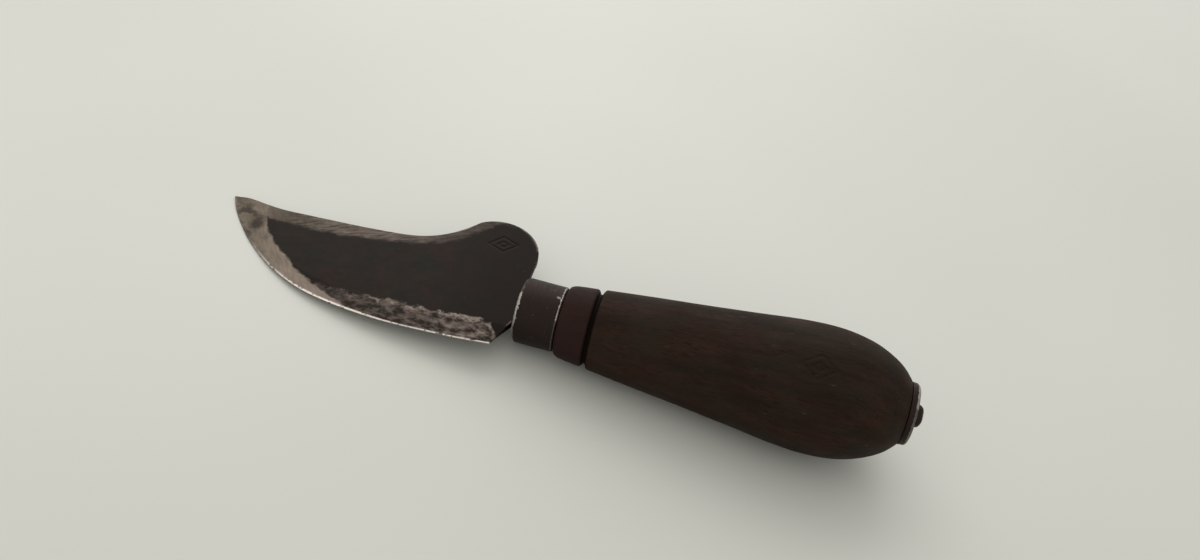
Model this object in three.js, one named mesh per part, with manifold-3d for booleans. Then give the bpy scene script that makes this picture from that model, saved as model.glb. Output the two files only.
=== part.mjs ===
// A fixed-blade knife: broad upswept blade with a round lobe behind its spine, steel ferrule,
// turned hardwood handle, and a stick tang peened over a steel cap at the pommel.
//
// Millimetres. The knife is drawn in its own axes: X runs along the tang from the blade's tip (-) to
// the pommel (+) with 0 at the ferrule's front, Y from the cutting edge (-) to the spine (+), and Z
// across the blade's thickness. The last lines lay it down the way it comes to rest on a table.

import * as THREE from 'three';
import { mergeVertices } from 'three/addons/utils/BufferGeometryUtils.js';
import Module from 'manifold-3d';

// ---- Driving dimensions ----

const GAP = 0.3;                     // play between pieces that touch

const BLADE_THICKNESS = 2.4;         // at the ferrule
const TIP_THICKNESS = 1.5;           // the plate thins towards the tip
const EDGE_THICKNESS = 0.3;          // a worn working edge
const BEVEL_WIDTH = 7.5;             // ground band along the cutting edge
const BLADE_LENGTH = 97.8;           // ferrule to tip
const BLADE_BASE_X = -0.35;
const LOBE_CENTRE = [-13.5, 20.1];
const LOBE_RADIUS = 13.25;

const TANG_ROOT_X = -6;              // buried in the blade
const TANG_THICKNESS = 2.2;
const TANG_FRONT_HALF_WIDTH = 3.4;
const TANG_REAR_HALF_WIDTH = 2.2;
const BUTTON_RADIUS = 3.6;
const BUTTON_HEIGHT = 3.1;

const FERRULE_RADIUS = 10;
const FERRULE_LENGTH = 13;
const FERRULE_WALL = 1;
const FERRULE_LIP_ROUND = 1.7;
const FERRULE_MOUTH_RADIUS = 6.6;

const BORE_RADIUS = 4.5;
const HANDLE_END_X = 117.1;          // shoulder that the pommel cap sits on
const SPIGOT_LENGTH = 1.3;           // enters the cap

const CAP_RADIUS = 9.4;
const CAP_HEIGHT = 2.5;
const CAP_WALL = 1.1;
const CAP_HOLE_RADIUS = 2.9;
const CAP_FACE_WALL = 0.7;
const CAP_DISH = 0.2;                // the cap's middle is hammered in
const SPIGOT_RADIUS = CAP_RADIUS - CAP_WALL - GAP;

const TURNED_SEGMENTS = 48;          // facets round every turned piece
const CURVE_SEGMENTS = 10;           // steps between two points of the blade's outline

// The knife at rest on a table: it stands on the handle's belly and on the edge near the tip.
const REST_PITCH = THREE.MathUtils.degToRad(-6.32);
const REST_ROLL = THREE.MathUtils.degToRad(4.87);

// ---- Solids ----

const wasm = await Module();
wasm.setup();

function solidOf(geometry) {
  const bare = geometry.clone();
  bare.deleteAttribute('normal');
  bare.deleteAttribute('uv');
  const merged = mergeVertices(bare, 1e-5);
  return new wasm.Manifold(new wasm.Mesh({
    numProp: 3,
    vertProperties: Float32Array.from(merged.attributes.position.array),
    triVerts: Uint32Array.from(merged.index.array),
  }));
}

function geometryOf(solid) {
  const mesh = solid.getMesh();
  const geometry = new THREE.BufferGeometry();
  geometry.setAttribute('position', new THREE.BufferAttribute(mesh.vertProperties, 3));
  geometry.setIndex(new THREE.BufferAttribute(mesh.triVerts, 1));
  geometry.computeVertexNormals();
  return geometry;
}

// A flat outline in X and Y, given a thickness that is centred on the blade's middle plane.
function plate(outline, thickness) {
  const geometry = new THREE.ExtrudeGeometry(outline, {
    depth: thickness,
    bevelEnabled: false,
    curveSegments: CURVE_SEGMENTS,
  });
  return geometry.translate(0, 0, -thickness / 2);
}

// A closed profile of [x, radius] points turned round the tang's axis.
function turned(profile) {
  const points = profile.map(([x, radius]) => new THREE.Vector2(radius, x));
  points.push(points[0].clone());
  const geometry = new THREE.LatheGeometry(points, TURNED_SEGMENTS);
  return geometry.rotateZ(-Math.PI / 2);
}

function quarterRound(centreX, centreRadius, size, fromAngle, toAngle, steps = 4) {
  return Array.from({ length: steps + 1 }, (_, step) => {
    const angle = fromAngle + (toAngle - fromAngle) * step / steps;
    return [centreX + size * Math.cos(angle), centreRadius + size * Math.sin(angle)];
  });
}

// ---- Blade, tang and peened button: one forging ----

const TIP = new THREE.Vector2(-BLADE_LENGTH, 14.7);
const HEEL = new THREE.Vector2(-4.3, -16.2);
const HEEL_CUT_TOP = new THREE.Vector2(BLADE_BASE_X, -6.9);

// The cutting edge from the tip, round the belly, to the heel.
const EDGE_POINTS = [
  new THREE.Vector2(-95.2, 9.8),
  new THREE.Vector2(-90.6, 3.8),
  new THREE.Vector2(-84.2, -2.8),
  new THREE.Vector2(-73.6, -10.5),
  new THREE.Vector2(-60, -15.9),
  new THREE.Vector2(-40, -18.4),
  new THREE.Vector2(-18.5, -17.7),
  HEEL,
];

// The spine from the root of the lobe back to the tip.
const SPINE_POINTS = [
  new THREE.Vector2(-26.2, 25.2),
  new THREE.Vector2(-32, 20.6),
  new THREE.Vector2(-40, 17.4),
  new THREE.Vector2(-54, 15.6),
  new THREE.Vector2(-70, 14.5),
  new THREE.Vector2(-82, 13.9),
  new THREE.Vector2(-92.5, 14.9),
  TIP,
];

function bladeOutline() {
  const [lobeX, lobeY] = LOBE_CENTRE;
  const lobeFoot = -Math.acos((BLADE_BASE_X - lobeX) / LOBE_RADIUS);
  const lobeTop = THREE.MathUtils.degToRad(128);
  const outline = new THREE.Shape();
  outline.moveTo(TIP.x, TIP.y);
  outline.splineThru(EDGE_POINTS);
  outline.lineTo(HEEL_CUT_TOP.x, HEEL_CUT_TOP.y);
  outline.lineTo(BLADE_BASE_X, lobeY + LOBE_RADIUS * Math.sin(lobeFoot));
  outline.absarc(lobeX, lobeY, LOBE_RADIUS, lobeFoot, lobeTop, false);
  outline.splineThru(SPINE_POINTS);
  return outline;
}

// Everything left by grinding both sides of the cutting edge: it follows the edge exactly, and
// reaches past the tip, the heel and the spine so that only the edge is ground.
function groundForm() {
  const outline = new THREE.Shape();
  outline.moveTo(-100, 26);
  outline.lineTo(TIP.x, TIP.y);
  outline.splineThru(EDGE_POINTS);
  outline.lineTo(20, -13.6);
  outline.lineTo(20, 60);
  outline.lineTo(-100, 60);
  const geometry = new THREE.ExtrudeGeometry(outline, {
    depth: EDGE_THICKNESS,
    bevelThickness: (BLADE_THICKNESS - EDGE_THICKNESS) / 2,
    bevelSize: BEVEL_WIDTH,
    bevelOffset: -BEVEL_WIDTH,
    bevelSegments: 1,
    curveSegments: CURVE_SEGMENTS,
  });
  return geometry.translate(0, 0, -EDGE_THICKNESS / 2);
}

// A long wedge seen from the side, which thins the plate from the ferrule to the tip.
function thinningWedge() {
  const side = new THREE.Shape();
  side.moveTo(-BLADE_LENGTH - 5, -TIP_THICKNESS / 2);
  side.lineTo(5, -BLADE_THICKNESS / 2);
  side.lineTo(5, BLADE_THICKNESS / 2);
  side.lineTo(-BLADE_LENGTH - 5, TIP_THICKNESS / 2);
  side.closePath();
  const geometry = new THREE.ExtrudeGeometry(side, { depth: 80, bevelEnabled: false });
  return geometry.rotateX(Math.PI / 2).translate(0, 50, 0);
}

const CAP_FRONT_X = HANDLE_END_X + GAP;
const CAP_BACK_X = CAP_FRONT_X + CAP_HEIGHT;
const BUTTON_FRONT_X = CAP_BACK_X + GAP / 2;

function tangOutline(clearance) {
  const outline = new THREE.Shape();
  const front = TANG_FRONT_HALF_WIDTH + clearance;
  const rear = TANG_REAR_HALF_WIDTH + clearance;
  outline.moveTo(TANG_ROOT_X, -front);
  outline.lineTo(BUTTON_FRONT_X + 1, -rear);
  outline.lineTo(BUTTON_FRONT_X + 1, rear);
  outline.lineTo(TANG_ROOT_X, front);
  outline.closePath();
  return outline;
}

function makeBlade() {
  const ground = solidOf(plate(bladeOutline(), BLADE_THICKNESS + 2))
    .intersect(solidOf(groundForm()))
    .intersect(solidOf(thinningWedge()));
  const tang = solidOf(plate(tangOutline(0), TANG_THICKNESS));
  const button = solidOf(turned([
    [BUTTON_FRONT_X, 0],
    [BUTTON_FRONT_X, BUTTON_RADIUS - 0.4],
    [BUTTON_FRONT_X + 0.5, BUTTON_RADIUS],
    [BUTTON_FRONT_X + BUTTON_HEIGHT - 1.2, BUTTON_RADIUS - 0.1],
    [BUTTON_FRONT_X + BUTTON_HEIGHT - 0.4, BUTTON_RADIUS - 0.9],
    [BUTTON_FRONT_X + BUTTON_HEIGHT, 0],
  ]));
  return geometryOf(ground.add(tang).add(button));
}

// ---- Ferrule ----

function makeFerrule() {
  const round = FERRULE_LIP_ROUND;
  const inner = round - FERRULE_WALL;
  const lipCentreRadius = FERRULE_RADIUS - round;
  return turned([
    [0, FERRULE_MOUTH_RADIUS],
    ...quarterRound(round, lipCentreRadius, round, Math.PI, Math.PI / 2),
    [FERRULE_LENGTH - 0.3, FERRULE_RADIUS],
    [FERRULE_LENGTH, FERRULE_RADIUS - 0.3],
    [FERRULE_LENGTH, FERRULE_RADIUS - FERRULE_WALL],
    ...quarterRound(round, lipCentreRadius, inner, Math.PI / 2, Math.PI),
    [FERRULE_WALL, FERRULE_MOUTH_RADIUS],
  ]);
}

// ---- Handle ----

const TENON_FRONT_X = FERRULE_WALL + GAP;
const TENON_RADIUS = FERRULE_RADIUS - FERRULE_WALL - GAP;
const SHOULDER_X = FERRULE_LENGTH + GAP;

const GROOVE_X = 23.1;
const GROOVE_HALF_WIDTH = 0.75;
const GROOVE_ROOT_RADIUS = 10.6;

// The grip's swell from the groove to the pommel.
const GRIP_SWELL = [
  [GROOVE_X + GROOVE_HALF_WIDTH + 0.5, 12.35],
  [39, 14],
  [54, 15.6],
  [69, 17.3],
  [82, 18.9],
  [91, 19.4],
  [98, 19],
  [104.5, 17.7],
  [110, 15.5],
  [114.2, 12.9],
  [HANDLE_END_X, 10],
];

function smoothProfile(points, steps) {
  const curve = new THREE.SplineCurve(points.map(([x, radius]) => new THREE.Vector2(x, radius)));
  return curve.getPoints(steps).map((point) => [point.x, point.y]);
}

function makeHandle() {
  const bead = smoothProfile([[SHOULDER_X + 0.5, 10.6], [15.2, 11.2], [18, 11.6], [21.8, 12]], 8);
  return turned([
    [TENON_FRONT_X, BORE_RADIUS],
    [TENON_FRONT_X, TENON_RADIUS - 0.8],
    [TENON_FRONT_X + 0.8, TENON_RADIUS],
    [SHOULDER_X, TENON_RADIUS],
    [SHOULDER_X, 9.8],
    ...bead,
    [GROOVE_X - GROOVE_HALF_WIDTH, 11.6],
    [GROOVE_X - 0.2, GROOVE_ROOT_RADIUS],
    [GROOVE_X + 0.2, GROOVE_ROOT_RADIUS],
    [GROOVE_X + GROOVE_HALF_WIDTH, 11.9],
    ...smoothProfile(GRIP_SWELL, 24),
    [HANDLE_END_X, SPIGOT_RADIUS],
    [HANDLE_END_X + SPIGOT_LENGTH, SPIGOT_RADIUS],
    [HANDLE_END_X + SPIGOT_LENGTH, BORE_RADIUS],
  ]);
}

// ---- Pommel cap: a thin dished washer ----

function makePommelCap() {
  const round = 1.1;
  const faceX = CAP_BACK_X - CAP_DISH;
  return turned([
    [CAP_FRONT_X, CAP_RADIUS - CAP_WALL],
    [CAP_FRONT_X, CAP_RADIUS],
    ...quarterRound(CAP_BACK_X - round, CAP_RADIUS - round, round, Math.PI / 2, 0),
    [faceX, CAP_HOLE_RADIUS + 2],
    [faceX, CAP_HOLE_RADIUS],
    [faceX - CAP_FACE_WALL, CAP_HOLE_RADIUS],
    [faceX - CAP_FACE_WALL, CAP_RADIUS - CAP_WALL],
  ]);
}

// ---- Bedding: cement cast round the tang in the bore ----

function makeBedding() {
  const radius = BORE_RADIUS - GAP;
  const core = solidOf(turned([
    [TENON_FRONT_X, 0],
    [TENON_FRONT_X, radius],
    [HANDLE_END_X + SPIGOT_LENGTH - 0.2, radius],
    [HANDLE_END_X + SPIGOT_LENGTH - 0.2, 0],
  ]));
  const slot = solidOf(plate(tangOutline(GAP), TANG_THICKNESS + 2 * GAP));
  return geometryOf(core.subtract(slot));
}

// ---- Assembly ----

const patinatedSteel = { color: 0x38332f, roughness: 0.45, metalness: 0.9 };
const agedHardwood = { color: 0x2c201b, roughness: 0.5, metalness: 0 };
const cutlersCement = { color: 0x14100d, roughness: 0.8, metalness: 0 };

const PIECES = [
  ['blade', makeBlade(), patinatedSteel],
  ['ferrule', makeFerrule(), patinatedSteel],
  ['handle', makeHandle(), agedHardwood],
  ['pommel_cap', makePommelCap(), patinatedSteel],
  ['tang_bedding', makeBedding(), cutlersCement],
];

const knife = new THREE.Group();
for (const [name, geometry, look] of PIECES) {
  const mesh = new THREE.Mesh(geometry, new THREE.MeshStandardMaterial(look));
  mesh.name = name;
  knife.add(mesh);
}

// Laid on the table, with the origin on the table under the middle of the whole knife.
knife.rotation.set(REST_ROLL, REST_PITCH, 0);
const group = new THREE.Group();
group.add(knife);
group.updateMatrixWorld(true);
const bounds = new THREE.Box3().setFromObject(group, true);
const middle = bounds.getCenter(new THREE.Vector3());
knife.position.set(-middle.x, -middle.y, -bounds.min.z);

export default group;
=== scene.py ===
"""A fixed-blade knife: forged blade, steel ferrule, turned hardwood handle and peened pommel cap.

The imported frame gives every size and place. New pieces are modelled in the knife's own axes (X along
the tang towards the pommel, Y towards the spine, Z across the blade, zero at the ferrule's front)
and are then laid on the table as the frame lies.
"""

import math
from collections import namedtuple

import bmesh
import bpy
from bpy.props import FloatProperty, FloatVectorProperty, IntProperty, PointerProperty
from mathutils import Matrix, Vector, noise
from mathutils.kdtree import KDTree


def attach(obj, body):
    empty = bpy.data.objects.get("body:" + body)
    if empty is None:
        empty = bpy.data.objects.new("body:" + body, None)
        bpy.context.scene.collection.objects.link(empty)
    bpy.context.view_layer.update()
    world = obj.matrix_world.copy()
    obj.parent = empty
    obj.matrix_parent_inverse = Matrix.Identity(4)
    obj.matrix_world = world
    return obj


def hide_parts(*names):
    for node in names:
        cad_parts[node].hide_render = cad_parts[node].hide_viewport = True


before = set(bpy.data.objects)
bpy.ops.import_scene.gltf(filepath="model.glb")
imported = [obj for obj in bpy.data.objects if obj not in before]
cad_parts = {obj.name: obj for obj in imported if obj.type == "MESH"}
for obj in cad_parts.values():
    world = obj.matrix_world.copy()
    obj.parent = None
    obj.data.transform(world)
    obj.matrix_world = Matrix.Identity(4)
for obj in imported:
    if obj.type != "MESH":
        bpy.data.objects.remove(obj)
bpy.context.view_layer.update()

bl_info = {
    "name": "Fixed-blade knife",
    "version": (1, 0, 0),
    "blender": (4, 5, 0),
    "location": "3D View > Sidebar > Knife",
    "description": "Models and finishes a knife with a turned handle round its packed frame",
    "category": "Object",
}

MM = 0.001
BODY = "root"
REST_ROLL = math.radians(4.87)
REST_PITCH = math.radians(-6.32)
BEVEL_START_X = -94 * MM             # the arrises run out before the tip
TANG_END_X = 119 * MM                # inside the pommel cap's hole
BLADE_MARK = (-12.2, 23.6, 1.2)      # millimetres, in the knife's own axes
HANDLE_MARK = (88.9, -7.5, 17.7)
TIP_STAIN = (-86.2, 5.6, 0.0)
SIDE_Z = 0.4 * MM                    # the blade's sides are further out than this
MERGE = 0.002 * MM                   # points closer than this are one
SHARP_ANGLE = math.radians(38)       # edges sharper than this aren't shaded smooth

# Where a turned surface is outside: beyond this distance from the tang's line.
FERRULE_OUTSIDE = 6.2 * MM
HANDLE_OUTSIDE = 9.9 * MM
CAP_OUTSIDE = 3.2 * MM

# Where the blade is rubbed bare: [place along the knife, width of the band] in millimetres. The
# clean and the pitted bands are measured from the cutting edge, the third from the spine.
CLEAN_BAND = [
    (-98, 16), (-89, 14), (-86, 10), (-83.5, 7.4), (-79, 6.1), (-72, 5.9), (-67, 4.6), (-59, 3.5),
    (-50, 1.3), (-44, 0.4), (-20, 0.1),
]
PITTED_BAND = [
    (-66, 2.5), (-57, 4.8), (-49, 5.8), (-43, 7.3), (-34, 8.3), (-25, 7.7), (-17, 8.8), (-10, 8.6),
    (-6, 7.2), (-3.4, 4), (-2, 0), (-1, -4),
]
SPINE_BAND = [
    (-98, 3), (-92, 4), (-84, 5.2), (-78, 4.8), (-70, 5.6), (-60, 5.4), (-52, 4.6), (-43, 3.6),
    (-34, 3.2), (-26, 3.6), (-19, 3.4), (-15, 0.8), (-8, 0.4),
]

# A rim rubbed to bare steel, in millimetres: its place along the knife, its width, the stretch
# across the knife that is brightest, the least radius, how ragged it is, and how bright it is
# there and elsewhere.
Rim = namedtuple("Rim", "place width low high radius ragged bright elsewhere")
FERRULE_RIMS = [
    Rim(0.5, 0.95, -9.4, -1.8, 8.8, 2.2, 1.0, 0.15),
    Rim(12.8, 0.6, -7.0, 5.5, 9.0, 1.6, 1.0, 0.15),
    Rim(11.7, 1.3, -0.8, -0.5, 9.0, 1.8, 0.5, 0.0),
]
CAP_RIMS = [Rim(119.3, 0.8, -4.5, 9.5, 8.3, 1.0, 0.45, 0.2)]
BUTTON_RIMS = [Rim(122.5, 0.3, -2.0, 2.0, 2.2, 3.0, 0.6, 0.2)]

CAMERA_PLACE = (0.01049, -0.27845, 0.26834)
CAMERA_TURN = (47.334, -14.119, 13.281)     # degrees
CAMERA_LENS = 37.5
SKY_COLOUR = "#dfe0dc"
SKY_STRENGTH = 0.98

# Each light's name, place, size in metres, watts and tint.
LIGHTS = [
    ("window", (-0.25, 0.56, 0.5), (1.0, 0.7), 2.8, "#fdfdfb"),
    ("overhead", (-0.1, 0.1, 1.2), (1.4, 1.4), 0.4, "#fdfcf8"),
]


def linear(hex_colour):
    """An sRGB hex colour as the linear RGBA that shaders and colour properties hold."""
    channels = [int(hex_colour[i : i + 2], 16) / 255 for i in (1, 3, 5)]
    return [c / 12.92 if c <= 0.04045 else ((c + 0.055) / 1.055) ** 2.4 for c in channels] + [1.0]


def laid_on_table():
    """The matrix from the knife's own axes to the frame's, with the ferrule's front as its zero."""
    turn = Matrix.Rotation(REST_ROLL, 4, "X") @ Matrix.Rotation(REST_PITCH, 4, "Y")
    back = turn.inverted()
    places = [back @ v.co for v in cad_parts["ferrule"].data.vertices]
    low = [min(p[i] for p in places) for i in range(3)]
    high = [max(p[i] for p in places) for i in range(3)]
    zero = Vector((low[0], (low[1] + high[1]) / 2, (low[2] + high[2]) / 2))
    return turn @ Matrix.Translation(zero)


LAID = laid_on_table()


class KnifeSizes(bpy.types.PropertyGroup):
    """Sizes of the fine shapes and of the wear."""

    facet: FloatProperty(
        name="Facet", description="Spacing of the points along a turned profile",
        default=1.1 * MM, min=0.2 * MM, unit="LENGTH",
    )
    turned_steps: IntProperty(
        name="Steps round", description="Facets round a turned piece", default=144, min=24,
    )
    arris: FloatProperty(
        name="Arris", description="Rounding of an edge by handling",
        default=0.28 * MM, min=0.02 * MM, unit="LENGTH",
    )
    blade_grid: FloatProperty(
        name="Blade grid", description="Spacing of the points across the blade's sides",
        default=0.9 * MM, min=0.4 * MM, unit="LENGTH",
    )
    wear: FloatProperty(
        name="Wear", description="Width of the blade's bare bands, as a share of the real one's",
        default=1.0, min=0.0, max=2.0, subtype="FACTOR",
    )
    mark: FloatProperty(
        name="Mark", description="Length of the plain lozenge punched in blade and handle",
        default=9 * MM, min=2 * MM, unit="LENGTH",
    )


class KnifeColours(bpy.types.PropertyGroup):
    """Colours of the finishes."""

    patina: FloatVectorProperty(
        name="Patina", description="Dark oxide on the blade", subtype="COLOR", size=4,
        default=linear("#23211e"), min=0, max=1,
    )
    ground: FloatVectorProperty(
        name="Ground steel", description="Bare steel where the blade is ground", subtype="COLOR",
        size=4, default=linear("#7c7065"), min=0, max=1,
    )
    blackened: FloatVectorProperty(
        name="Blackened steel", description="Ferrule, cap and button", subtype="COLOR", size=4,
        default=linear("#332a27"), min=0, max=1,
    )
    wood: FloatVectorProperty(
        name="Wood", description="The handle's main colour", subtype="COLOR", size=4,
        default=linear("#231b15"), min=0, max=1,
    )
    grain: FloatVectorProperty(
        name="Grain", description="The lighter streaks in the wood", subtype="COLOR", size=4,
        default=linear("#36241c"), min=0, max=1,
    )
    floor: FloatVectorProperty(
        name="Floor", description="The pale table", subtype="COLOR", size=4,
        default=linear("#d6d5cf"), min=0, max=1,
    )


# ---- Mesh work ----


def cad_copy(node):
    """A merged copy of a CAD node's mesh, in the knife's own axes."""
    bm = bmesh.new()
    bm.from_mesh(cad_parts[node].data)
    bmesh.ops.transform(bm, matrix=LAID.inverted(), verts=bm.verts)
    bmesh.ops.remove_doubles(bm, verts=bm.verts, dist=MERGE)
    # Merging can leave a sliver standing on the three points of its neighbours.
    slivers = [f for f in bm.faces if any(len(e.link_faces) == 1 for e in f.edges)]
    bmesh.ops.delete(bm, geom=slivers, context="FACES")
    return bm


def meridian(node):
    """A turned CAD node's profile: [x, radius] points in order round the closed loop."""
    bm = cad_copy(node)
    on_line = {v for v in bm.verts if abs(v.co.y) < 0.01 * MM and v.co.z > 0}
    start = min(on_line, key=lambda v: (v.co.x, v.co.z))
    points, here, before = [], start, None
    while True:
        points.append((here.co.x, here.co.z))
        steps = [e.other_vert(here) for e in here.link_edges]
        steps = [v for v in steps if v in on_line and v is not before]
        here, before = steps[0], here
        if here is start:
            break
    bm.free()
    return points


def eased(points, spacing, rounding, corner=math.radians(24)):
    """A closed profile with its long runs filled by a smooth curve and its corners rounded."""
    count = len(points)
    places = [Vector(p) for p in points]
    legs = [(places[(i + 1) % count] - places[i]).normalized() for i in range(count)]
    sharp = [legs[i - 1].angle(legs[i]) > corner for i in range(count)]
    out = []
    for i in range(count):
        a, b = places[i], places[(i + 1) % count]
        length = (b - a).length
        trim = min(rounding, 0.4 * length)
        if sharp[i]:
            back = min(rounding, 0.4 * (places[i] - places[i - 1]).length)
            before, after = a - legs[i - 1] * back, a + legs[i] * trim
            out += [before, (before + 2 * a + after) / 4, after]
        else:
            out.append(a)
        lead = (b - places[i - 1]) / 2 if not sharp[i] else b - a
        exit_to = (places[(i + 2) % count] - a) / 2 if not sharp[(i + 1) % count] else b - a
        lead, exit_to = lead.normalized() * length, exit_to.normalized() * length
        steps = max(1, round(length / spacing))
        first = trim / length if sharp[i] else 0
        last = 1 - trim / length if sharp[(i + 1) % count] else 1
        for step in range(1, steps):
            t = step / steps
            if not first + 0.02 < t < last - 0.02:
                continue
            out.append(
                (2 * t**3 - 3 * t**2 + 1) * a
                + (t**3 - 2 * t**2 + t) * lead
                + (3 * t**2 - 2 * t**3) * b
                + (t**3 - t**2) * exit_to
            )
    return [(p.x, p.y) for p in out]


def turned(points, steps, closed=True):
    """A profile of [x, radius] points spun round the tang's line."""
    bm = bmesh.new()
    verts = [bm.verts.new((x, 0, radius)) for x, radius in points]
    pairs = list(zip(verts, verts[1:] + verts[:1])) if closed else list(zip(verts, verts[1:]))
    edges = [bm.edges.new(pair) for pair in pairs]
    bmesh.ops.spin(
        bm, geom=verts + edges, cent=(0, 0, 0), axis=(1, 0, 0), dvec=(0, 0, 0),
        angle=math.tau, steps=steps, use_merge=True, use_duplicate=False,
    )
    bmesh.ops.remove_doubles(bm, verts=bm.verts, dist=MERGE)
    bmesh.ops.recalc_face_normals(bm, faces=bm.faces)
    return bm


def uneven(bm, size, depth, seed, keep):
    """Sinks the kept places by a slow noise, never outwards, as hand work and wear leave them."""
    bm.normal_update()
    shift = Vector((seed, 2.3 * seed, -1.7 * seed))
    moves = [
        (v, v.normal * depth * (0.5 + 0.5 * noise.noise(v.co / size + shift)))
        for v in bm.verts if keep(v.co)
    ]
    for v, move in moves:
        v.co -= move


def lozenge_depth(along, across, length):
    """How deep a punched lozenge is, from 0 to 1, at a place measured from its middle."""
    width = 0.72 * length
    line = 0.05 * length
    inner_share = 0.36
    flat_bottom = 1.6
    reach = abs(along) / (length / 2) + abs(across) / (width / 2)
    outline = max(0, 1 - abs(reach - 1) * (width / 2.5) / line)
    inner = max(0, 1 - abs(reach - inner_share) * (width / 2.5) / line)
    return min(1, flat_bottom * max(outline, inner))


def refine(bm, inside, cuts):
    """Splits the edges of the faces that are inside into finer ones."""
    faces = [f for f in bm.faces if inside(f.calc_center_median())]
    edges = list({e for f in faces for e in f.edges})
    bmesh.ops.subdivide_edges(bm, edges=edges, cuts=cuts, use_grid_fill=True)


def finish_piece(bm, name, node, material):
    """Makes the object from its bmesh, lays it on the table and ties it to the frame."""
    mesh = bpy.data.meshes.new(name)
    bm.to_mesh(mesh)
    bm.free()
    mesh.transform(LAID)
    mesh.materials.append(material)
    mesh.shade_smooth()
    mesh.set_sharp_from_angle(angle=SHARP_ANGLE)
    piece = bpy.data.objects.new(name, mesh)
    bpy.context.scene.collection.objects.link(piece)
    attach(piece, BODY)
    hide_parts(node)
    return piece


def outline_runs(bm, is_on_run):
    """A search tree of points, a fifth of a millimetre apart, along the edges of one run."""
    places = []
    for edge in bm.edges:
        a, b = (v.co for v in edge.verts)
        if is_on_run(a) and is_on_run(b):
            steps = max(1, math.ceil((b - a).length / (0.2 * MM)))
            places += [a.lerp(b, step / steps) for step in range(steps + 1)]
    tree = KDTree(len(places))
    for i, place in enumerate(places):
        tree.insert((place.x, place.y, 0), i)
    tree.balance()
    return tree


def set_insides(bm, layer_name, run, band=((0, 0),), wear=1.0):
    """Stores how far each point is inside a band along the outline, in millimetres."""
    layer = bm.verts.layers.float.new(layer_name)
    for v in bm.verts:
        x = v.co.x / MM
        width = band[0][1] if x < band[0][0] else band[-1][1]
        for (x_a, width_a), (x_b, width_b) in zip(band, band[1:]):
            if x_a <= x < x_b:
                width = width_a + (width_b - width_a) * (x - x_a) / (x_b - x_a)
        v[layer] = width * wear - run.find((v.co.x, v.co.y, 0))[2] / MM


# ---- Materials ----


def new_material(name):
    """An empty material whose node tree is ready to be filled."""
    material = bpy.data.materials.new(name)
    material.use_nodes = True
    material.node_tree.nodes.clear()
    return material


def add(tree, kind, inputs=(), out=0, **settings):
    """Adds a node with its settings, and gives each input its value or the socket it links from."""
    node = tree.nodes.new("ShaderNode" + kind)
    for key, value in settings.items():
        setattr(node, key, value)
    for key, value in inputs.items() if isinstance(inputs, dict) else enumerate(inputs):
        if isinstance(value, bpy.types.NodeSocket):
            tree.links.new(value, node.inputs[key])
        else:
            node.inputs[key].default_value = value
    return node.outputs[out] if node.outputs else node


def knife_mm(tree):
    """Object coordinates turned into the knife's own axes, in millimetres."""
    to_knife = LAID.inverted()
    coordinates = add(tree, "TexCoord", out="Object")
    return add(
        tree, "Mapping",
        {
            "Vector": coordinates,
            "Location": to_knife.translation / MM,
            "Rotation": to_knife.to_euler("XYZ"),
            "Scale": (1 / MM, 1 / MM, 1 / MM),
        },
    )


def marks_of(tree, place, size_mm, detail=3.0, roughness=0.55, turn=0.0):
    """Noise whose marks have this length, width and height, at an angle across the piece."""
    turned_place = add(tree, "Mapping", {"Vector": place, "Rotation": (0, 0, turn)})
    sized = add(tree, "Mapping", {"Vector": turned_place, "Scale": [1 / s for s in size_mm]})
    return add(
        tree, "TexNoise",
        {"Vector": sized, "Scale": 1.0, "Detail": detail, "Roughness": roughness},
    )


def surface(material, look, height, depth_mm):
    """Links a principled shader with this look, over a bump of this depth, to the output."""
    tree = material.node_tree
    bump = add(tree, "Bump", {"Height": height, "Strength": 1.0, "Distance": depth_mm * MM})
    shader = add(tree, "BsdfPrincipled", {**look, "Normal": bump})
    add(tree, "OutputMaterial", {"Surface": shader})
    return material


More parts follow.
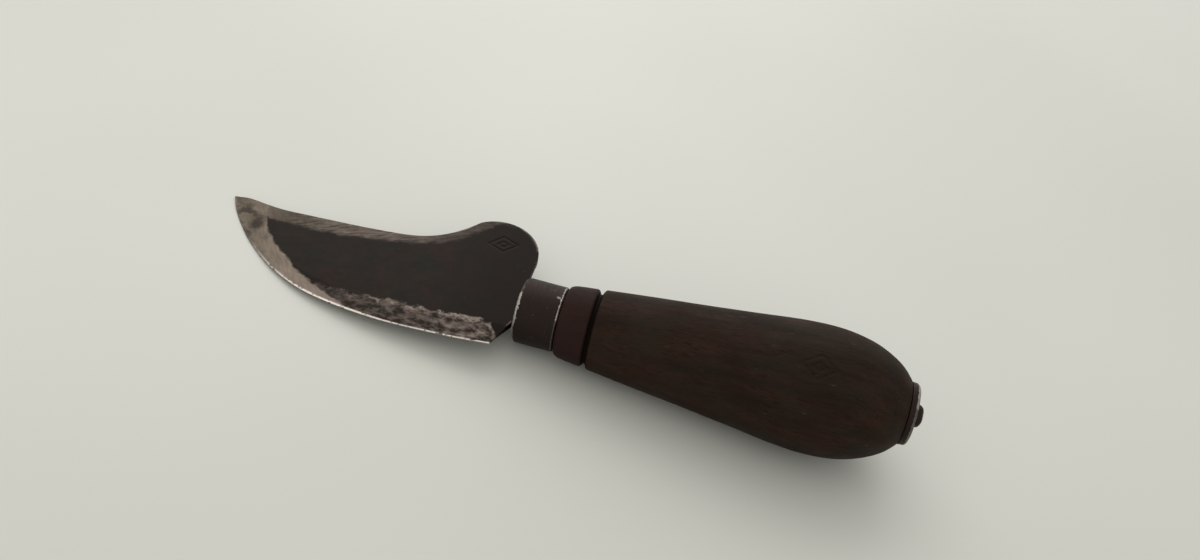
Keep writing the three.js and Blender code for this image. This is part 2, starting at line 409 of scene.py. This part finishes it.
def forged_carbon_steel(colours):
    """Carbon steel, forged, ground by hand on a stone and long since oxidised.

    The oxide is a dull brown-black. Where stone, sheath and work have rubbed it away the bare steel
    shows: clean near the tip, pitted and stained from the belly to the heel, streaked by the spine.
    """
    material = new_material("forged_carbon_steel")
    tree = material.node_tree
    place = knife_mm(tree)
    x = add(tree, "SeparateXYZ", [place])
    clean_in = add(tree, "Attribute", out="Fac", attribute_name="clean_in")
    pitted_in = add(tree, "Attribute", out="Fac", attribute_name="pitted_in")
    spine_in = add(tree, "Attribute", out="Fac", attribute_name="spine_in")
    edge_in = add(tree, "Attribute", out="Fac", attribute_name="edge_in")
    blotch = marks_of(tree, place, (12, 8, 8))
    ragged = marks_of(tree, place, (2.6, 2.0, 3), detail=5, roughness=0.62)
    spots = marks_of(tree, place, (3.6, 2.1, 3), detail=4, roughness=0.66)
    pits = marks_of(tree, place, (1.2, 1.0, 1), detail=4, roughness=0.65)
    stain = marks_of(tree, place, (5, 4, 5), detail=3)
    streaks = marks_of(tree, place, (5, 0.6, 3), detail=4, roughness=0.65, turn=math.radians(-28))
    # Marks of the stone, drawn 1.1 mm apart: the real ones are too fine to show.
    stoned = marks_of(tree, place, (1.1, 5, 3), detail=4, roughness=0.6, turn=math.radians(-35))
    torn = add(tree, "MapRange", [ragged, 0.3, 0.7, -1.0, 1.0])

    # The clean band: ground on the stone, stained in places near the tip.
    clean = add(tree, "Math", [torn, 0.55, clean_in], operation="MULTIPLY_ADD")
    clean = add(tree, "MapRange", [clean, -0.25, 0.5, 0, 1])
    tipward = add(tree, "MapRange", [x, -88, -76, 1, 0])
    stained = add(
        tree, "Math", [tipward, add(tree, "MapRange", [stain, 0.48, 0.6, 0, 0.6])],
        operation="MULTIPLY",
    )
    off_stain = add(tree, "VectorMath", [place, TIP_STAIN], operation="SUBTRACT")
    off_stain = add(tree, "VectorMath", [off_stain, (0.42, 0.26, 0)], operation="MULTIPLY")
    off_stain = add(tree, "VectorMath", [off_stain], out="Value", operation="LENGTH")
    off_stain = add(tree, "Math", [torn, 0.3, off_stain], operation="MULTIPLY_ADD")
    tip_stain = add(tree, "MapRange", [off_stain, 0.5, 1.3, 0.7, 0])
    stained = add(tree, "Math", [stained, tip_stain], operation="MAXIMUM")
    clean = add(
        tree, "Math", [clean, add(tree, "Math", [0.95, stained], operation="SUBTRACT")],
        operation="MULTIPLY",
    )

    # The pitted band: half bare between its pits, with a brighter torn line where the oxide ends.
    torn_pitted = add(tree, "Math", [torn, 1.1, pitted_in], operation="MULTIPLY_ADD")
    band = add(tree, "MapRange", [torn_pitted, -0.2, 0.5, 0, 1])
    tops = add(tree, "MapRange", [spots, 0.42, 0.68, 0.04, 0.7])
    line = add(tree, "Math", [torn_pitted, 0.9], operation="SUBTRACT")
    line = add(tree, "MapRange", [add(tree, "Math", [line], operation="ABSOLUTE"), 0.5, 1.7, 1, 0])
    line = add(
        tree, "Math", [line, add(tree, "MapRange", [pits, 0.4, 0.56, 0.2, 1])],
        operation="MULTIPLY",
    )
    line = add(
        tree, "Math", [line, add(tree, "MapRange", [stain, 0.4, 0.54, 0.45, 1.0])],
        operation="MULTIPLY",
    )
    pitted = add(tree, "Math", [tops, line], operation="MAXIMUM")
    pitted = add(
        tree, "Math", [pitted, add(tree, "MapRange", [x, -62, -40, 0.12, 1])],
        operation="MULTIPLY",
    )
    heelward = add(tree, "MapRange", [x, -28, -16, 1, 1.5])
    pitted = add(tree, "Math", [pitted, heelward], operation="MULTIPLY")
    pitted = add(tree, "Math", [pitted, band], operation="MULTIPLY", use_clamp=True)

    # The band rubbed along the spine is a fan of long streaks, and fades up the lobe.
    rubbed = add(tree, "Math", [torn, 0.8, spine_in], operation="MULTIPLY_ADD")
    rubbed = add(tree, "MapRange", [rubbed, -0.6, 1.0, 0, 1])
    streaked = add(tree, "MapRange", [streaks, 0.38, 0.66, 0.14, 0.68])
    evener = add(tree, "MapRange", [x, -86, -70, 0.68, 0])
    streaked = add(tree, "Math", [streaked, evener], operation="MAXIMUM")
    rubbed = add(tree, "Math", [rubbed, streaked], operation="MULTIPLY")
    rubbed = add(
        tree, "Math", [rubbed, add(tree, "MapRange", [x, -42, -26, 1, 0.55])],
        operation="MULTIPLY",
    )

    # The honed edge, nicked here and there, and the arris of the spine and lobe.
    nicked = add(tree, "MapRange", [pits, 0.36, 0.44, -0.9, 0])
    honed = add(tree, "Math", [edge_in, nicked], operation="ADD")
    thinner = add(tree, "MapRange", [x, -46, -34, 0, 0.22])
    honed = add(tree, "Math", [honed, thinner], operation="SUBTRACT")
    honed = add(tree, "MapRange", [honed, -0.75, -0.35, 0, 1])
    honed = add(
        tree, "Math", [honed, add(tree, "MapRange", [x, -84, -60, 0.05, 1])],
        operation="MULTIPLY",
    )
    arris_in = add(tree, "Attribute", out="Fac", attribute_name="arris_in")
    arris = add(tree, "MapRange", [arris_in, -0.7, -0.1, 0, 1])
    off_middle = add(tree, "Math", [add(tree, "SeparateXYZ", [place], out="Z")], operation="ABSOLUTE")
    arris = add(
        tree, "Math", [arris, add(tree, "MapRange", [off_middle, 0.55, 0.9, 0.2, 1])],
        operation="MULTIPLY",
    )
    arris = add(
        tree, "Math", [arris, add(tree, "MapRange", [stain, 0.4, 0.6, 0.15, 0.9])],
        operation="MULTIPLY",
    )
    bare = add(tree, "Math", [clean, pitted], operation="MAXIMUM")
    bare = add(tree, "Math", [bare, rubbed], operation="MAXIMUM")
    bare = add(tree, "Math", [bare, arris], operation="MAXIMUM")
    flecks = add(tree, "MapRange", [pits, 0.7, 0.76, 0, 0.5])
    bare = add(tree, "Math", [bare, flecks], operation="MAXIMUM")

    oxide = add(
        tree, "Mix",
        {0: add(tree, "MapRange", [blotch, 0.35, 0.65, 0, 1]), 6: colours.patina,
         7: linear("#2a211e")},
        out=2, data_type="RGBA",
    )
    oxide = add(
        tree, "Mix",
        {0: add(tree, "MapRange", [ragged, 0.4, 0.7, 0, 0.6]), 6: oxide, 7: linear("#1d1d1a")},
        out=2, data_type="RGBA",
    )
    oxide = add(
        tree, "Mix",
        {0: add(tree, "MapRange", [x, -32, -8, 0, 0.75]), 6: oxide, 7: linear("#1d1816")},
        out=2, data_type="RGBA",
    )
    steel = add(
        tree, "Mix",
        {0: add(tree, "MapRange", [stoned, 0.3, 0.7, 0.1, 0.8]), 6: colours.ground,
         7: linear("#574d44")},
        out=2, data_type="RGBA",
    )
    steel = add(
        tree, "Mix",
        {0: add(tree, "MapRange", [x, -92, -72, 0.6, 0]), 6: steel, 7: linear("#4c453b")},
        out=2, data_type="RGBA",
    )
    steel = add(
        tree, "Mix",
        {0: add(tree, "MapRange", [x, -74, -52, 0, 0.7]), 6: steel, 7: linear("#776a64")},
        out=2, data_type="RGBA",
    )
    colour = add(tree, "Mix", {0: bare, 6: oxide, 7: steel}, out=2, data_type="RGBA")
    colour = add(
        tree, "Mix", {0: honed, 6: colour, 7: linear("#d3c8c2")}, out=2, data_type="RGBA",
    )
    roughness = add(tree, "MapRange", [bare, 0, 1, 0.5, 0.38])
    roughness = add(
        tree, "Math", [streaks, 0.16, add(tree, "Math", [roughness, 0.08], operation="SUBTRACT")],
        operation="MULTIPLY_ADD",
    )
    relief = add(
        tree, "Math", [spots, add(tree, "MapRange", [band, 0, 1, 0.3, 1.3])],
        operation="MULTIPLY",
    )
    relief = add(tree, "Math", [stoned, 0.2, relief], operation="MULTIPLY_ADD")
    look = {"Base Color": colour, "Metallic": 1.0, "Roughness": roughness}
    return surface(material, look, relief, 0.07)


def blackened_steel(name, colours, rims):
    """Mild steel, drawn into a tube or a washer, burnished and gone brown-black with age.

    The rims, and a nick beside the ferrule's rear one, are rubbed to bare steel. The drawn
    scratches are 0.4 mm wide, as fine as shows; real ones are finer.
    """
    material = new_material(name)
    tree = material.node_tree
    place = knife_mm(tree)
    x = add(tree, "SeparateXYZ", [place])
    y = add(tree, "SeparateXYZ", [place], out="Y")
    across = add(tree, "VectorMath", [place, (0, 1, 1)], operation="MULTIPLY")
    radius = add(tree, "VectorMath", [across], out="Value", operation="LENGTH")
    blotch = marks_of(tree, place, (5, 5, 5), detail=4, roughness=0.6)
    grain = marks_of(tree, place, (0.9, 0.9, 0.9), detail=4, roughness=0.65)
    scratch = marks_of(tree, place, (0.4, 5, 5), detail=4, roughness=0.6)
    worn = None
    for rim in rims:
        off = add(tree, "Math", [x, rim.place], operation="SUBTRACT")
        off = add(tree, "Math", [off], operation="ABSOLUTE")
        off = add(tree, "Math", [grain, -rim.ragged * rim.width, off], operation="MULTIPLY_ADD")
        torn_middle = -0.5 * rim.ragged * rim.width
        line = add(
            tree, "MapRange",
            [off, torn_middle + 0.3 * rim.width, torn_middle + 0.6 * rim.width, 1, 0],
        )
        off_stretch = add(tree, "Math", [y, (rim.low + rim.high) / 2], operation="SUBTRACT")
        off_stretch = add(tree, "Math", [off_stretch], operation="ABSOLUTE")
        half = (rim.high - rim.low) / 2
        stretch = add(
            tree, "MapRange", [off_stretch, half - 0.2, half + 0.4, rim.bright, rim.elsewhere],
        )
        line = add(tree, "Math", [line, stretch], operation="MULTIPLY")
        outside = add(tree, "MapRange", [radius, rim.radius - 0.3, rim.radius + 0.1, 0.03, 1])
        line = add(tree, "Math", [line, outside], operation="MULTIPLY")
        worn = line if worn is None else add(tree, "Math", [worn, line], operation="MAXIMUM")
    rubbed = add(tree, "MapRange", [blotch, 0.36, 0.56, 0.45, 1])
    rubbed = add(tree, "Math", [worn, rubbed], operation="MULTIPLY")
    specks = add(tree, "MapRange", [grain, 0.66, 0.76, 0, 0.35])
    bare = add(tree, "Math", [rubbed, specks], operation="MAXIMUM")
    oxide = add(
        tree, "Mix",
        {0: add(tree, "MapRange", [blotch, 0.35, 0.65, 0, 1]), 6: colours.blackened,
         7: linear("#322a27")},
        out=2, data_type="RGBA",
    )
    colour = add(
        tree, "Mix", {0: bare, 6: oxide, 7: linear("#ded6cc")}, out=2, data_type="RGBA",
    )
    roughness = add(tree, "MapRange", [scratch, 0.3, 0.7, 0.46, 0.62])
    relief = add(tree, "Math", [scratch, 0.5, grain], operation="MULTIPLY_ADD")
    look = {"Base Color": colour, "Metallic": 1.0, "Roughness": roughness}
    return surface(material, look, relief, 0.035)


def oiled_dark_hardwood(colours):
    """Dense dark hardwood, turned on a lathe, oiled and polished by the hand.

    Fine pores run lengthwise, and the gloss is broken by small scratches and dull handled patches.
    The pores are drawn 0.3 mm wide, as fine as shows; real ones in such wood are finer.
    """
    material = new_material("oiled_dark_hardwood")
    tree = material.node_tree
    place = knife_mm(tree)
    x = add(tree, "SeparateXYZ", [place])
    figure = marks_of(tree, place, (60, 3.6, 5), detail=4, roughness=0.6)
    pores = marks_of(tree, place, (7, 0.3, 0.3), detail=3, roughness=0.6)
    patch = marks_of(tree, place, (14, 9, 9), detail=3)
    scratch = marks_of(tree, place, (0.25, 4, 4), detail=2, turn=math.radians(28))
    bald = marks_of(tree, place, (22, 7, 7), detail=4, roughness=0.6)
    nicks = marks_of(tree, place, (6, 0.9, 0.9), detail=1, turn=math.radians(-6))
    wood = add(
        tree, "Mix",
        {0: add(tree, "MapRange", [figure, 0.36, 0.66, 0, 1]), 6: colours.wood, 7: colours.grain},
        out=2, data_type="RGBA",
    )
    wood = add(
        tree, "Mix",
        {0: add(tree, "MapRange", [pores, 0.52, 0.68, 0, 0.7]), 6: wood, 7: linear("#150d0a")},
        out=2, data_type="RGBA",
    )
    wood = add(
        tree, "Mix",
        {0: add(tree, "MapRange", [patch, 0.42, 0.7, 0, 0.5]), 6: wood, 7: linear("#241814")},
        out=2, data_type="RGBA",
    )
    # Dry handled patches are greyer, and short light scratches run mostly lengthwise.
    wood = add(
        tree, "Mix",
        {0: add(tree, "MapRange", [bald, 0.46, 0.68, 0, 0.6]), 6: wood, 7: linear("#29251e")},
        out=2, data_type="RGBA",
    )
    scuffs = add(tree, "MapRange", [nicks, 0.73, 0.84, 0, 0.45])
    wood = add(tree, "Mix", {0: scuffs, 6: wood, 7: linear("#5f5450")}, out=2, data_type="RGBA")
    # The bead at the ferrule is redder, where less oil and dirt has gone in.
    bead = add(tree, "MapRange", [x, 22.0, 23.0, 0.55, 0])
    wood = add(tree, "Mix", {0: bead, 6: wood, 7: linear("#2e1d1d")}, out=2, data_type="RGBA")
    # The groove is painted darker: painted shade where the groove is recessed.
    groove_shade = add(tree, "Math", [x, 23.1], operation="SUBTRACT")
    groove_shade = add(tree, "Math", [groove_shade], operation="ABSOLUTE")
    groove_shade = add(tree, "MapRange", [groove_shade, 0.5, 1.3, 0.9, 0])
    wood = add(tree, "Mix", {0: groove_shade, 6: wood, 7: linear("#0f0a08")}, out=2, data_type="RGBA")
    roughness = add(tree, "MapRange", [patch, 0.3, 0.7, 0.42, 0.58])
    roughness = add(tree, "Math", [pores, 0.14, roughness], operation="MULTIPLY_ADD")
    relief = add(tree, "Math", [scratch, 0.25, pores], operation="MULTIPLY_ADD")
    look = {
        "Base Color": wood, "Roughness": roughness, "IOR": 1.5, "Specular IOR Level": 0.05,
    }
    return surface(material, look, relief, 0.06)


def cutlers_cement():
    """Pitch and brick dust, poured hot round the tang: black, dull and slightly gritty.

    The grit is drawn 0.8 mm across, coarser than real grit, which wouldn't show.
    """
    material = new_material("cutlers_cement")
    tree = material.node_tree
    place = knife_mm(tree)
    grit = marks_of(tree, place, (0.8, 0.8, 0.8), detail=4, roughness=0.7)
    colour = add(
        tree, "Mix", {0: grit, 6: linear("#0e0b09"), 7: linear("#2a211b")},
        out=2, data_type="RGBA",
    )
    look = {"Base Color": colour, "Roughness": 0.8, "IOR": 1.5}
    return surface(material, look, grit, 0.08)


def lacquered_table(colours):
    """A smooth lacquered table top, pale grey-white, with the faintest unevenness in its gloss."""
    material = new_material("lacquered_table")
    tree = material.node_tree
    coordinates = add(tree, "TexCoord", out="Object")
    cloud = add(tree, "TexNoise", {"Vector": coordinates, "Scale": 4.0, "Detail": 2.0})
    colour = add(
        tree, "Mix",
        {0: add(tree, "MapRange", [cloud, 0.35, 0.65, 0, 1]), 6: colours.floor,
         7: linear("#d1d0c9")},
        out=2, data_type="RGBA",
    )
    roughness = add(tree, "MapRange", [cloud, 0.3, 0.7, 0.42, 0.5])
    look = {"Base Color": colour, "Roughness": roughness, "IOR": 1.45}
    return surface(material, look, cloud, 0.004)


# ---- The pieces ----


class KNIFE_OT_blade(bpy.types.Operator):
    """Model the forged blade with its tang"""

    bl_idname = "knife.blade"
    bl_label = "Blade"

    def execute(self, context):
        sizes, colours = context.scene.knife_sizes, context.scene.knife_colours
        bm = cad_copy("blade")
        # The tang is cut inside the cap, and the peened button beyond it is a piece of its own.
        cut = bmesh.ops.bisect_plane(
            bm, geom=bm.verts[:] + bm.edges[:] + bm.faces[:], dist=0.001 * MM,
            plane_co=(TANG_END_X, 0, 0), plane_no=(1, 0, 0), clear_outer=True,
        )
        rim = [e for e in cut["geom_cut"] if isinstance(e, bmesh.types.BMEdge)]
        bmesh.ops.holes_fill(bm, edges=rim)
        bmesh.ops.dissolve_limit(
            bm, angle_limit=math.radians(0.6), use_dissolve_boundaries=False,
            verts=bm.verts[:], edges=bm.edges[:],
        )
        # A triangle's corner that has only two edges is a folded sliver, and is welded shut.
        folded = {
            v: v.link_edges[0].other_vert(v) for v in bm.verts
            if len(v.link_edges) == 2 and any(len(f.verts) == 3 for f in v.link_faces)
        }
        bmesh.ops.weld_verts(bm, targetmap=folded)
        half_edge = 0.16 * MM
        cutting = outline_runs(bm, lambda p: abs(p.z) < half_edge and p.x < 0)

        def on_spine(place):
            from_edge = cutting.find((place.x, place.y, 0))[2]
            return abs(place.z) > half_edge and from_edge > 0.3 * MM

        walls = {
            v for f in bm.faces if abs(f.normal.z) < 0.1 and f.calc_center_median().x < -1 * MM
            for v in f.verts
        }
        rim_places = {v.co.to_tuple(7) for v in walls if on_spine(v.co)}
        arris = outline_runs(bm, lambda p: p.to_tuple(7) in rim_places)
        spine = outline_runs(bm, lambda p: p.to_tuple(7) in rim_places and p.y > 9 * MM)
        arrises = [
            e for e in bm.edges
            if len(e.link_faces) == 2 and e.calc_face_angle() > math.radians(55)
            and all(abs(v.co.z) > SIDE_Z and BEVEL_START_X < v.co.x < 0 for v in e.verts)
        ]
        bmesh.ops.bevel(
            bm, geom=arrises, offset=sizes.arris, offset_type="OFFSET", segments=2, profile=0.5,
            affect="EDGES", material=-1, clamp_overlap=True,
        )
        low = Vector((min(v.co.x for v in bm.verts), min(v.co.y for v in bm.verts)))
        high = Vector((-0.4 * MM, max(v.co.y for v in bm.verts)))
        for axis in (0, 1):
            normal = Vector((1, 0, 0)) if axis == 0 else Vector((0, 1, 0))
            lines = math.ceil((high[axis] - low[axis]) / sizes.blade_grid)
            for line in range(1, lines):
                at = low[axis] + line * sizes.blade_grid
                near = [
                    f for f in bm.faces
                    if min(v.co[axis] for v in f.verts) < at < max(v.co[axis] for v in f.verts)
                    and f.calc_center_median().x < 0
                ]
                near_edges = {e for f in near for e in f.edges}
                near_verts = {v for f in near for v in f.verts}
                bmesh.ops.bisect_plane(
                    bm, geom=near + list(near_edges) + list(near_verts), dist=0.01 * MM,
                    plane_co=normal * at, plane_no=normal,
                )
        middle = Vector(BLADE_MARK) * MM

        def in_mark(place):
            off = place - middle
            return place.z > SIDE_Z and max(abs(off.x), abs(off.y)) < 1.2 * sizes.mark / 2

        refine(bm, in_mark, 4)
        set_insides(bm, "edge_in", cutting)
        set_insides(bm, "arris_in", arris)
        set_insides(bm, "clean_in", cutting, CLEAN_BAND, sizes.wear)
        set_insides(bm, "pitted_in", cutting, PITTED_BAND, sizes.wear)
        set_insides(bm, "spine_in", spine, SPINE_BAND, sizes.wear)
        uneven(
            bm, size=7 * MM, depth=0.10 * MM, seed=4.0,
            keep=lambda place: place.x < -1 * MM and abs(place.z) > SIDE_Z,
        )
        # Shallow pits in the pitted band.
        pit_size = 1.9 * MM
        pit_depth = 0.14 * MM
        inside = bm.verts.layers.float["pitted_in"]
        from_edge = bm.verts.layers.float["edge_in"]
        for v in [v for v in bm.verts if v[inside] > 0 and v[from_edge] < -1]:
            hollow = max(0, noise.noise(v.co / pit_size))
            v.co.z -= math.copysign(pit_depth * hollow, v.co.z)
        mark_turn = Matrix.Rotation(math.radians(-14), 3, "Z")
        mark_depth = 0.13 * MM
        for v in [v for v in bm.verts if in_mark(v.co)]:
            off = mark_turn @ (v.co - middle)
            v.co.z -= mark_depth * lozenge_depth(off.x, off.y, sizes.mark)
        bmesh.ops.recalc_face_normals(bm, faces=bm.faces)
        finish_piece(bm, "forged_blade", "blade", forged_carbon_steel(colours))
        return {"FINISHED"}


class KNIFE_OT_ferrule(bpy.types.Operator):
    """Model the rolled steel ferrule"""

    bl_idname = "knife.ferrule"
    bl_label = "Ferrule"

    def execute(self, context):
        sizes, colours = context.scene.knife_sizes, context.scene.knife_colours
        profile = eased(meridian("ferrule"), sizes.facet * 0.7, 0.12 * MM)
        bm = turned(profile, sizes.turned_steps)
        length = max(v.co.x for v in bm.verts)

        def outside(place):
            return math.hypot(place.y, place.z) > FERRULE_OUTSIDE

        uneven(bm, size=6 * MM, depth=0.10 * MM, seed=11.0, keep=outside)
        uneven(bm, size=1.8 * MM, depth=0.03 * MM, seed=5.0, keep=outside)
        # A short nick beside the rear rim.
        nick_x = length - 1.5 * MM
        nick_angle = 0.2
        nick_half_length = 0.3 * MM
        nick_half_angle = 0.14
        nick_depth = 0.2 * MM
        for v in bm.verts:
            along = abs(v.co.x - nick_x) / nick_half_length
            across = abs(math.atan2(v.co.y, v.co.z) - nick_angle) / nick_half_angle
            if max(along, across) < 1 and outside(v.co):
                v.co -= Vector((0, v.co.y, v.co.z)).normalized() * nick_depth * (1 - along)
        material = blackened_steel("blackened_ferrule_steel", colours, FERRULE_RIMS)
        finish_piece(bm, "rolled_ferrule", "ferrule", material)
        return {"FINISHED"}


class KNIFE_OT_handle(bpy.types.Operator):
    """Model the turned wooden handle"""

    bl_idname = "knife.handle"
    bl_label = "Handle"

    def execute(self, context):
        sizes, colours = context.scene.knife_sizes, context.scene.knife_colours
        profile = eased(meridian("handle"), sizes.facet, sizes.arris)
        bm = turned(profile, sizes.turned_steps)
        middle = Vector(HANDLE_MARK) * MM

        def outside(place):
            return math.hypot(place.y, place.z) > HANDLE_OUTSIDE

        def unrolled(place):
            """A place on the grip measured from the mark's middle, along it and round it."""
            radius = math.hypot(place.y, place.z)
            angle = math.atan2(place.y, place.z) - math.atan2(middle.y, middle.z)
            return place.x - middle.x, angle * radius

        def in_mark(place):
            return place.z > 0 and max(map(abs, unrolled(place))) < 0.7 * sizes.mark

        refine(bm, lambda p: in_mark(p) and outside(p), 4)
        uneven(bm, size=16 * MM, depth=0.16 * MM, seed=3.0, keep=outside)
        uneven(bm, size=3 * MM, depth=0.035 * MM, seed=8.0, keep=outside)
        mark_depth = 0.22 * MM
        mark_length = 1.15 * sizes.mark
        for v in [v for v in bm.verts if in_mark(v.co) and outside(v.co)]:
            along, across = unrolled(v.co)
            inwards = Vector((0, v.co.y, v.co.z)).normalized()
            v.co -= inwards * mark_depth * lozenge_depth(along, across, mark_length)
        finish_piece(bm, "turned_handle", "handle", oiled_dark_hardwood(colours))
        return {"FINISHED"}


class KNIFE_OT_pommel(bpy.types.Operator):
    """Model the hammered pommel cap and the tang's peened button"""

    bl_idname = "knife.pommel"
    bl_label = "Pommel"

    def execute(self, context):
        sizes, colours = context.scene.knife_sizes, context.scene.knife_colours
        profile = eased(meridian("pommel_cap"), sizes.facet * 0.4, 0.1 * MM)
        cap = turned(profile, sizes.turned_steps)
        back = max(v.co.x for v in cap.verts)
        front = min(v.co.x for v in cap.verts)

        def hammered(place):
            return place.x > front + 0.5 * MM and math.hypot(place.y, place.z) > CAP_OUTSIDE

        uneven(cap, size=3.2 * MM, depth=0.16 * MM, seed=6.0, keep=hammered)
        uneven(cap, size=1.1 * MM, depth=0.04 * MM, seed=2.0, keep=hammered)
        material = blackened_steel("hammered_cap_steel", colours, CAP_RIMS)
        finish_piece(cap, "hammered_cap", "pommel_cap", material)

        # The button starts where the tang is cut, past the end of the cement.
        start = TANG_END_X + 0.02 * MM
        button_profile = [
            (start, 0), (start, 2.0 * MM), (back + 0.15 * MM, 2.1 * MM),
            (back + 0.15 * MM, 3.0 * MM), (back + 0.45 * MM, 3.45 * MM), (back + 1.1 * MM, 3.55 * MM),
            (back + 1.9 * MM, 3.35 * MM), (back + 2.5 * MM, 2.8 * MM), (back + 2.85 * MM, 1.9 * MM),
            (back + 3.0 * MM, 0.9 * MM), (back + 3.05 * MM, 0),
        ]
        button_steps = 48
        button = turned(button_profile, button_steps, closed=False)
        uneven(
            button, size=1.9 * MM, depth=0.22 * MM, seed=9.0,
            keep=lambda place: place.x > back + 0.3 * MM,
        )
        material = blackened_steel("peened_tang_steel", colours, BUTTON_RIMS)
        finish_piece(button, "peened_button", "blade", material)
        return {"FINISHED"}


class KNIFE_OT_bedding(bpy.types.Operator):
    """Finish the cement that beds the tang"""

    bl_idname = "knife.bedding"
    bl_label = "Bedding"

    def execute(self, context):
        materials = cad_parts["tang_bedding"].data.materials
        materials.clear()
        materials.append(cutlers_cement())
        return {"FINISHED"}


class KNIFE_OT_stage(bpy.types.Operator):
    """Lay the table, and set the lights and the camera"""

    bl_idname = "knife.stage"
    bl_label = "Stage"

    def execute(self, context):
        scene = context.scene
        bm = bmesh.new()
        bmesh.ops.create_grid(bm, x_segments=8, y_segments=8, size=9.0)
        mesh = bpy.data.meshes.new("table")
        bm.to_mesh(mesh)
        bm.free()
        mesh.materials.append(lacquered_table(context.scene.knife_colours))
        table = bpy.data.objects.new("table", mesh)
        scene.collection.objects.link(table)

        for name, place, size, watts, tint in LIGHTS:
            lamp = bpy.data.lights.new(name, "AREA")
            lamp.shape = "RECTANGLE"
            lamp.size, lamp.size_y = size
            lamp.energy = watts
            lamp.color = linear(tint)[:3]
            light = bpy.data.objects.new(name, lamp)
            light.location = place
            light.rotation_euler = (-Vector(place)).to_track_quat("-Z", "Y").to_euler()
            scene.collection.objects.link(light)

        world = bpy.data.worlds.new("studio")
        world.use_nodes = True
        background = world.node_tree.nodes["Background"]
        background.inputs["Color"].default_value = linear(SKY_COLOUR)
        background.inputs["Strength"].default_value = SKY_STRENGTH
        scene.world = world
        scene.view_settings.view_transform = "Standard"

        lens = bpy.data.cameras.new("camera")
        lens.sensor_width = 36
        lens.lens = CAMERA_LENS
        lens.clip_start = 0.01
        camera = bpy.data.objects.new("camera", lens)
        camera.location = CAMERA_PLACE
        camera.rotation_euler = [math.radians(angle) for angle in CAMERA_TURN]
        scene.collection.objects.link(camera)
        scene.camera = camera
        return {"FINISHED"}


class KNIFE_PT_build(bpy.types.Panel):
    """Lists the knife's sizes and colours, and what builds each of its pieces"""

    bl_idname = "KNIFE_PT_build"
    bl_label = "Fixed-blade knife"
    bl_space_type = "VIEW_3D"
    bl_region_type = "UI"
    bl_category = "Knife"

    def draw(self, context):
        for group in (context.scene.knife_sizes, context.scene.knife_colours):
            box = self.layout.box()
            for name in group.__annotations__:
                box.prop(group, name)
        for operator in OPERATORS:
            self.layout.operator(operator.bl_idname)


OPERATORS = [
    KNIFE_OT_blade, KNIFE_OT_ferrule, KNIFE_OT_handle, KNIFE_OT_pommel, KNIFE_OT_bedding,
    KNIFE_OT_stage,
]
CLASSES = [KnifeSizes, KnifeColours, *OPERATORS, KNIFE_PT_build]


def register():
    for cls in CLASSES:
        bpy.utils.register_class(cls)
    bpy.types.Scene.knife_sizes = PointerProperty(type=KnifeSizes)
    bpy.types.Scene.knife_colours = PointerProperty(type=KnifeColours)


def unregister():
    del bpy.types.Scene.knife_colours
    del bpy.types.Scene.knife_sizes
    for cls in reversed(CLASSES):
        bpy.utils.unregister_class(cls)


def main():
    register()
    for operator in OPERATORS:
        category, name = operator.bl_idname.split(".")
        getattr(getattr(bpy.ops, category), name)()


if __name__ == "__main__":
    main()
